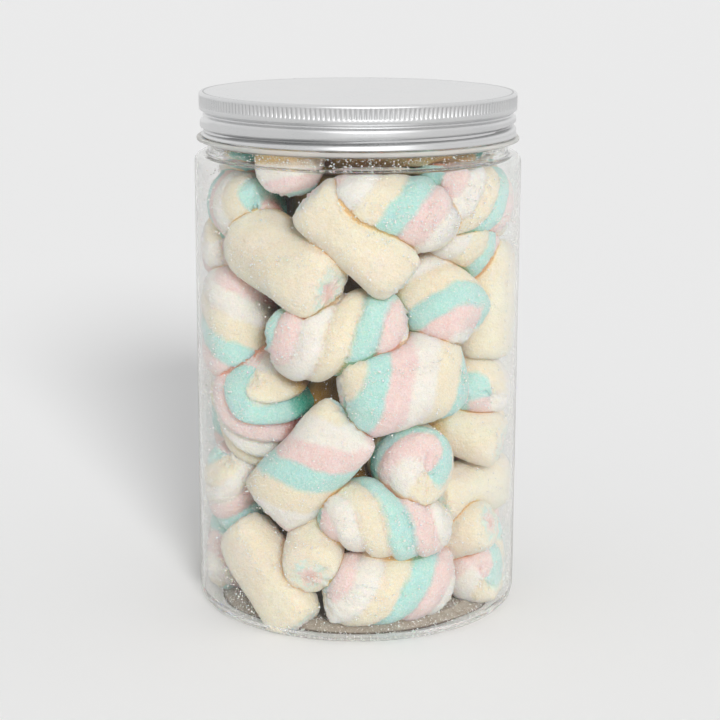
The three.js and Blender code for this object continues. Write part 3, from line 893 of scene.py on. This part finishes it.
def jar():
    bore = NECK_RADIUS - JAR_WALL
    inner = JAR_RADIUS - JAR_WALL
    outline = filleted([
        (0, PUSH_UP_HEIGHT, 0),
        (8, PUSH_UP_HEIGHT, 0),
        (PUSH_UP_RADIUS, PUSH_UP_HEIGHT, 2),
        (FOOT_INNER_RADIUS, 0, 1.2),
        (FOOT_OUTER_RADIUS - 0.6, 0, 0.8),
        (FOOT_OUTER_RADIUS + 1.6, 0.55, 1.5),
        (JAR_RADIUS - 0.6, 2.4, 1.5),
        (JAR_RADIUS, 5, 3),
        (JAR_RADIUS, SHOULDER_HEIGHT, SHOULDER_CORNER),
        (NECK_RADIUS, SHOULDER_HEIGHT, 0.9),
        (NECK_RADIUS, BEAD_BOTTOM, 0.3),
        (BEAD_RADIUS, BEAD_BOTTOM + 1, 0.4),
        (BEAD_RADIUS, BEAD_TOP, 0.45),
        (NECK_RADIUS, BEAD_TOP, 0.4),
        (NECK_RADIUS, NECK_TOP, 0.3),
        (bore, NECK_TOP, 0.3),
        (bore, SHOULDER_HEIGHT - JAR_WALL, 1.2),
        (inner, SHOULDER_HEIGHT - JAR_WALL, SHOULDER_CORNER - JAR_WALL),
        (inner, 5, 3),
        (JAR_RADIUS - 1.6, 3.2, 1),
        (FOOT_OUTER_RADIUS + 0.6, JAR_WALL, 1.5),
        (FOOT_INNER_RADIUS + 0.3, JAR_WALL, 0.8),
        (PUSH_UP_RADIUS + 0.3, PUSH_UP_HEIGHT + JAR_WALL, 2.4),
        (8, PUSH_UP_HEIGHT + JAR_WALL, 0),
        (0, PUSH_UP_HEIGHT + JAR_WALL, 0),
    ])
    made = lathe("clear_jar", outline, JAR_SEGMENTS)
    points = np.array([vertex.co for vertex in made.data.vertices]) / MM
    bead = (np.hypot(points[:, 0], points[:, 1]) > NECK_RADIUS + 0.5) & (points[:, 2] > SHOULDER_HEIGHT + 1.5)
    point_attribute(made, "bead", bead)
    dressed(made, clear_plastic_material(), "clear_plastic", "jar")


def smooth_step(value, low, high):
    share = np.clip((value - low) / (high - low), 0, 1)
    return share * share * (3 - 2 * share)


def knurl(height, around):
    """How deep the grooves of the knurled band are, as a share."""
    band = smooth_step(height, KNURL_LOW, KNURL_LOW + KNURL_FADE)
    band = band * (1 - smooth_step(height, KNURL_HIGH - KNURL_FADE, KNURL_HIGH))
    return band * (1 - np.sqrt(np.abs(np.cos(math.radians(0.5) * around * KNURL_COUNT))))


def lid_radius(height, around):
    """The outside of the lid's wall: rolled edge, screw thread, neck-in bend, lip and knurled band."""
    radius = np.where(height < LIP_HEIGHT, SKIRT_RADIUS, LID_RADIUS) + np.zeros_like(around)
    bend = np.exp(-((height - BEND_HEIGHT) / BEND_WIDTH) ** 2)
    radius = radius - (radius - BEND_RADIUS) * bend
    for turn in (-360, 0, 360):
        travel = around + turn
        middle = THREAD_FRONT + THREAD_PITCH * travel / 360
        window = smooth_step(travel, THREAD_START, THREAD_START + THREAD_FADE)
        window *= 1 - smooth_step(travel, THREAD_END - THREAD_FADE, THREAD_END)
        radius = radius - THREAD_DEPTH * window * np.exp(-((height - middle) / THREAD_WIDTH) ** 2)
    return np.maximum(radius, DEEPEST_RADIUS) - KNURL_DEPTH * knurl(height, around)


def lid_shade(height, around):
    """Painted shade: how dark the grooves of the knurl and of the thread are painted."""
    middle = THREAD_FRONT + THREAD_PITCH * around / 360
    thread = np.exp(-((height - middle) / THREAD_SHADE_WIDTH) ** 2)
    return np.maximum(THREAD_SHADE * thread, KNURL_SHADE * knurl(height, around))


def lid():
    """The lid's skin in rings: the inside from the roof down, the curled edge, the outside up and the top."""
    columns = KNURL_COUNT * KNURL_COLUMNS
    around = (360 * np.arange(columns) / columns + 90 + 180) % 360 - 180
    roof = LID_TOP - LID_WALL
    rows = [(0, roof), (30, roof), (LID_RADIUS - LID_RIM - LID_WALL, roof),
            (LID_RADIUS - LID_WALL, roof - LID_RIM)]
    for height in np.linspace(roof - 1.5, CURL_TOP, 9):
        rows.append((np.minimum(lid_radius(height, around), LID_RADIUS - 0.35) - LID_WALL, height))
    for angle in np.radians(np.linspace(180, 360, 7)):
        radius = lid_radius(CURL_TOP, around) - LID_WALL / 2 + 0.12 + CURL * math.cos(angle)
        rows.append((np.minimum(radius, LID_RADIUS), LID_BOTTOM + CURL + CURL * math.sin(angle)))
    outer = len(rows)
    heights = np.concatenate([
        np.arange(CURL_TOP, BEND_HEIGHT + 1, WALL_STEP),
        np.linspace(BEND_HEIGHT + 1.1, KNURL_LOW, 5),
        np.linspace(KNURL_LOW + 0.2, KNURL_LOW + KNURL_FADE, 3),
        np.linspace(KNURL_HIGH - KNURL_FADE, KNURL_HIGH - 0.02, 4),
    ])
    rows += [(lid_radius(height, around), height) for height in heights]
    for angle in np.radians(np.linspace(0, 90, 5)):
        rows.append((LID_RADIUS - LID_CORNER + LID_CORNER * math.cos(angle),
                     KNURL_HIGH + LID_CORNER * math.sin(angle)))
    edge = LID_RADIUS - LID_CORNER
    rows += [(edge - 0.25, LID_TOP - 0.03), (edge - 0.45, LID_TOP - 0.14), (edge - 0.7, LID_TOP - 0.1),
             (edge - 1.0, LID_TOP - 0.02), (edge - 2.5, LID_TOP), (24, LID_TOP), (0, LID_TOP)]
    radii, levels = (np.array([row[index] + 0 * around for row in rows]) for index in (0, 1))
    made = revolved("screw_lid", radii, levels)
    shades = np.zeros_like(radii)
    shades[outer:outer + len(heights)] = [lid_shade(height, around) for height in heights]
    # Painted shade in the groove round the top rim.
    shades[-6:-4] = RIM_SHADE
    point_attribute(made, "shade", np.append(shades[1:-1].ravel(), [0, 0]))
    dressed(made, aluminium_material(), "lid_aluminium", "lid")


def crystals(name, places, sizes, seed, material):
    """Four-sided grains of sugar at the given places."""
    draw = np.random.default_rng(seed)
    shape = np.array([[1, 1, 1], [-1, -1, 1], [-1, 1, -1], [1, -1, -1]], float) / math.sqrt(3)
    faces = np.array([[0, 1, 3], [0, 2, 1], [0, 3, 2], [1, 2, 3]])
    axes = np.linalg.qr(draw.normal(size=(len(places), 3, 3)))[0]
    axes *= np.sign(np.linalg.det(axes))[:, None, None]
    scales = sizes[:, None, None] * draw.uniform(0.7, 1.3, (len(places), 1, 3))
    points = places[:, None] + (shape * scales) @ axes
    faces = faces + 4 * np.arange(len(places))[:, None, None]
    made = mesh_object(name, points.reshape(-1, 3), [faces.reshape(-1, 3)], smooth=False)
    dressed(made, material, "marshmallow")


def wall_spots(draw, count, pieces, radius, low, high):
    """Random spots on the inner wall, most of them where a piece leaves the wall by a little."""
    turn, height = draw.uniform(0, 2 * math.pi, count), draw.uniform(low, high, count)
    spots = placed_round(radius, turn, height)
    nearest = np.min([depth(piece, spots) for piece in pieces], axis=0)
    chance = 0.03 + 0.97 * np.exp(-((nearest - GRAIN_REACH) / GRAIN_SPREAD) ** 2) + 0.1 * (nearest > 2)
    return spots[draw.uniform(size=count) < chance]


def sugar(pieces, skin):
    """Grains of sugar that cling to the glass, mostly round the pieces, lie on the jar's floor and coat the
    pieces, at random points of their skin."""
    material = sugar_material()
    draw = np.random.default_rng(11)
    inner = JAR_RADIUS - JAR_WALL - GRAIN_GAP
    bore = NECK_RADIUS - JAR_WALL - GRAIN_GAP
    candidates = WALL_GRAINS
    on_wall = wall_spots(draw, candidates, pieces, inner, 4, SHOULDER_HEIGHT - 3)
    turn = draw.uniform(0, 2 * math.pi, NECK_GRAINS)
    on_neck = placed_round(bore, turn, draw.uniform(SHOULDER_HEIGHT - 0.5, BEAD_TOP, NECK_GRAINS))
    turn = draw.uniform(0, 2 * math.pi, FLOOR_GRAINS)
    radius = (JAR_RADIUS - 1.6) * np.sqrt(draw.uniform(0.5, 1, FLOOR_GRAINS))
    on_floor = placed_round(radius, turn, floor_height(radius) + 0.1)
    places = np.concatenate([on_wall, on_neck, on_floor])
    crystals("sugar_crystals", places, 0.18 + 0.3 * draw.random(len(places)) ** 2.5, 12, material)
    skin = skin[np.hypot(skin[:, 0], skin[:, 1]) > COAT_RADIUS]
    first, second = skin[:-1], skin[1:]
    near = np.linalg.norm(first - second, axis=1) < COAT_STEP
    picked = draw.choice(np.flatnonzero(near), COAT_GRAINS, replace=False)
    on_skin = first[picked] + draw.random((len(picked), 1)) * (second[picked] - first[picked])
    crystals("sugar_coat", on_skin, 0.1 + 0.16 * draw.random(len(picked)) ** 2, 13, material)


def dust():
    """Fallen sugar dust, coloured grey-brown partly as painted shade under the heap, which hides the floor
    that the jar stands on. It ends in a thin dark line of painted shade.
    """
    radii = np.concatenate([np.linspace(0, PUSH_UP_RADIUS - 2, 6),
                            np.linspace(PUSH_UP_RADIUS - 1.5, FOOT_INNER_RADIUS + 0.6, 16)])
    spread = radii[:, None] * np.ones(DUST_COLUMNS)
    top = floor_height(spread) + DUST_GAP
    rows = np.concatenate([spread, spread[::-1]])
    heights = np.concatenate([top, top[::-1] - DUST_THICKNESS])
    dressed(revolved("sugar_dust_and_shade", rows[::-1], heights[::-1]), dust_and_shade_material(), "marshmallow")


# ---------------------------------------------------------------- stage, lights and camera

FOCAL = 1973
IMAGE_SIZE = 720
CAMERA_PLACE = Vector((0, -604.5, 214.15)) * MM
CAMERA_PITCH = 0.2245
CAMERA_ROLL = 0.003
CENTRE_OFFSET = 2.77
SENSOR = 36
FLOOR_REACH = 9000
LAMP_RISE = 23
SUN_TURN = 14
SUN_SPREAD = 15
SUN_ENERGY = 2.6
GLOSS_TURN = 9
GLOSS_LIGHT = 1.6


def camera():
    data = bpy.data.cameras.new("camera")
    data.sensor_width = SENSOR
    data.lens = FOCAL * SENSOR / IMAGE_SIZE
    data.shift_x = CENTRE_OFFSET / IMAGE_SIZE
    data.clip_start = 0.01
    made = bpy.data.objects.new("camera", data)
    turn = Matrix.Rotation(math.pi / 2 - CAMERA_PITCH, 4, "X") @ Matrix.Rotation(CAMERA_ROLL, 4, "Z")
    made.matrix_world = Matrix.Translation(CAMERA_PLACE) @ turn
    bpy.context.scene.collection.objects.link(made)
    bpy.context.scene.camera = made


def stage():
    material, tree, _ = new_material("studio_floor")
    shown(tree, principled(tree, Base_Color=(0.93, 0.93, 0.93, 1), Roughness=0.9, Specular_IOR_Level=0.1))
    corners = FLOOR_REACH * np.array([[-1, -1, 0], [1, -1, 0], [1, 1, 0], [-1, 1, 0]], float)
    floor = mesh_object("studio_floor", corners, [np.array([[0, 1, 2, 3]])], smooth=False)
    floor.data.materials.append(material)


def lamp_direction(degrees):
    """Towards a lamp that stands this far round the jar from its front."""
    turn = math.radians(degrees)
    return Vector((math.sin(turn), -math.cos(turn), math.tan(math.radians(LAMP_RISE)))).normalized()


def lights():
    """A bright room, whitest near the horizon, and a broad lamp at the front, a little to the right. Gloss
    shows a soft patch for the lamp and a plainer room, darker in front of the jar than behind it."""
    world = bpy.data.worlds.new("studio")
    bpy.context.scene.world = world
    world.use_nodes = True
    tree = world.node_tree
    direction = node(tree, "ShaderNodeTexCoord").outputs["Generated"]
    parts = node(tree, "ShaderNodeSeparateXYZ", {"Vector": direction}).outputs
    sky = ramp(tree, parts["Z"], [(height, (grey, grey, grey, 1)) for height, grey in (
        (0.0, 0.97), (0.2, 0.97), (0.45, 0.58), (1.0, 0.43))])
    backdrop = mapped(tree, parts["Y"], -0.5, 0.5, 0.85, 0.97)
    facing = node(tree, "ShaderNodeVectorMath", {0: direction, 1: lamp_direction(GLOSS_TURN)},
                  operation="DOT_PRODUCT").outputs["Value"]
    patch = mapped(tree, facing, 0.8, 0.97, 0.0, GLOSS_LIGHT, interpolation_type="SMOOTHSTEP")
    gloss = math_node(tree, "ADD", backdrop, patch)
    path = node(tree, "ShaderNodeLightPath").outputs
    mirrored = math_node(tree, "MULTIPLY", path["Is Glossy Ray"],
                         math_node(tree, "SUBTRACT", 1.0, path["Is Transmission Ray"]))
    seen = mix_color(tree, mirrored, sky, gloss)
    tree.links.new(seen, tree.nodes["Background"].inputs["Color"])
    data = bpy.data.lights.new("key", "SUN")
    data.energy, data.angle = SUN_ENERGY, math.radians(SUN_SPREAD)
    made = bpy.data.objects.new("key", data)
    made.rotation_euler = lamp_direction(SUN_TURN).to_track_quat("Z", "Y").to_euler()
    made.visible_glossy = False
    bpy.context.scene.collection.objects.link(made)


camera()
placed, front_count = arrangement()
skin_points = heap(placed, front_count)
inner_core()
jar()
lid()
sugar(placed, skin_points)
dust()
stage()
lights()
bpy.context.scene.view_settings.view_transform = "Standard"
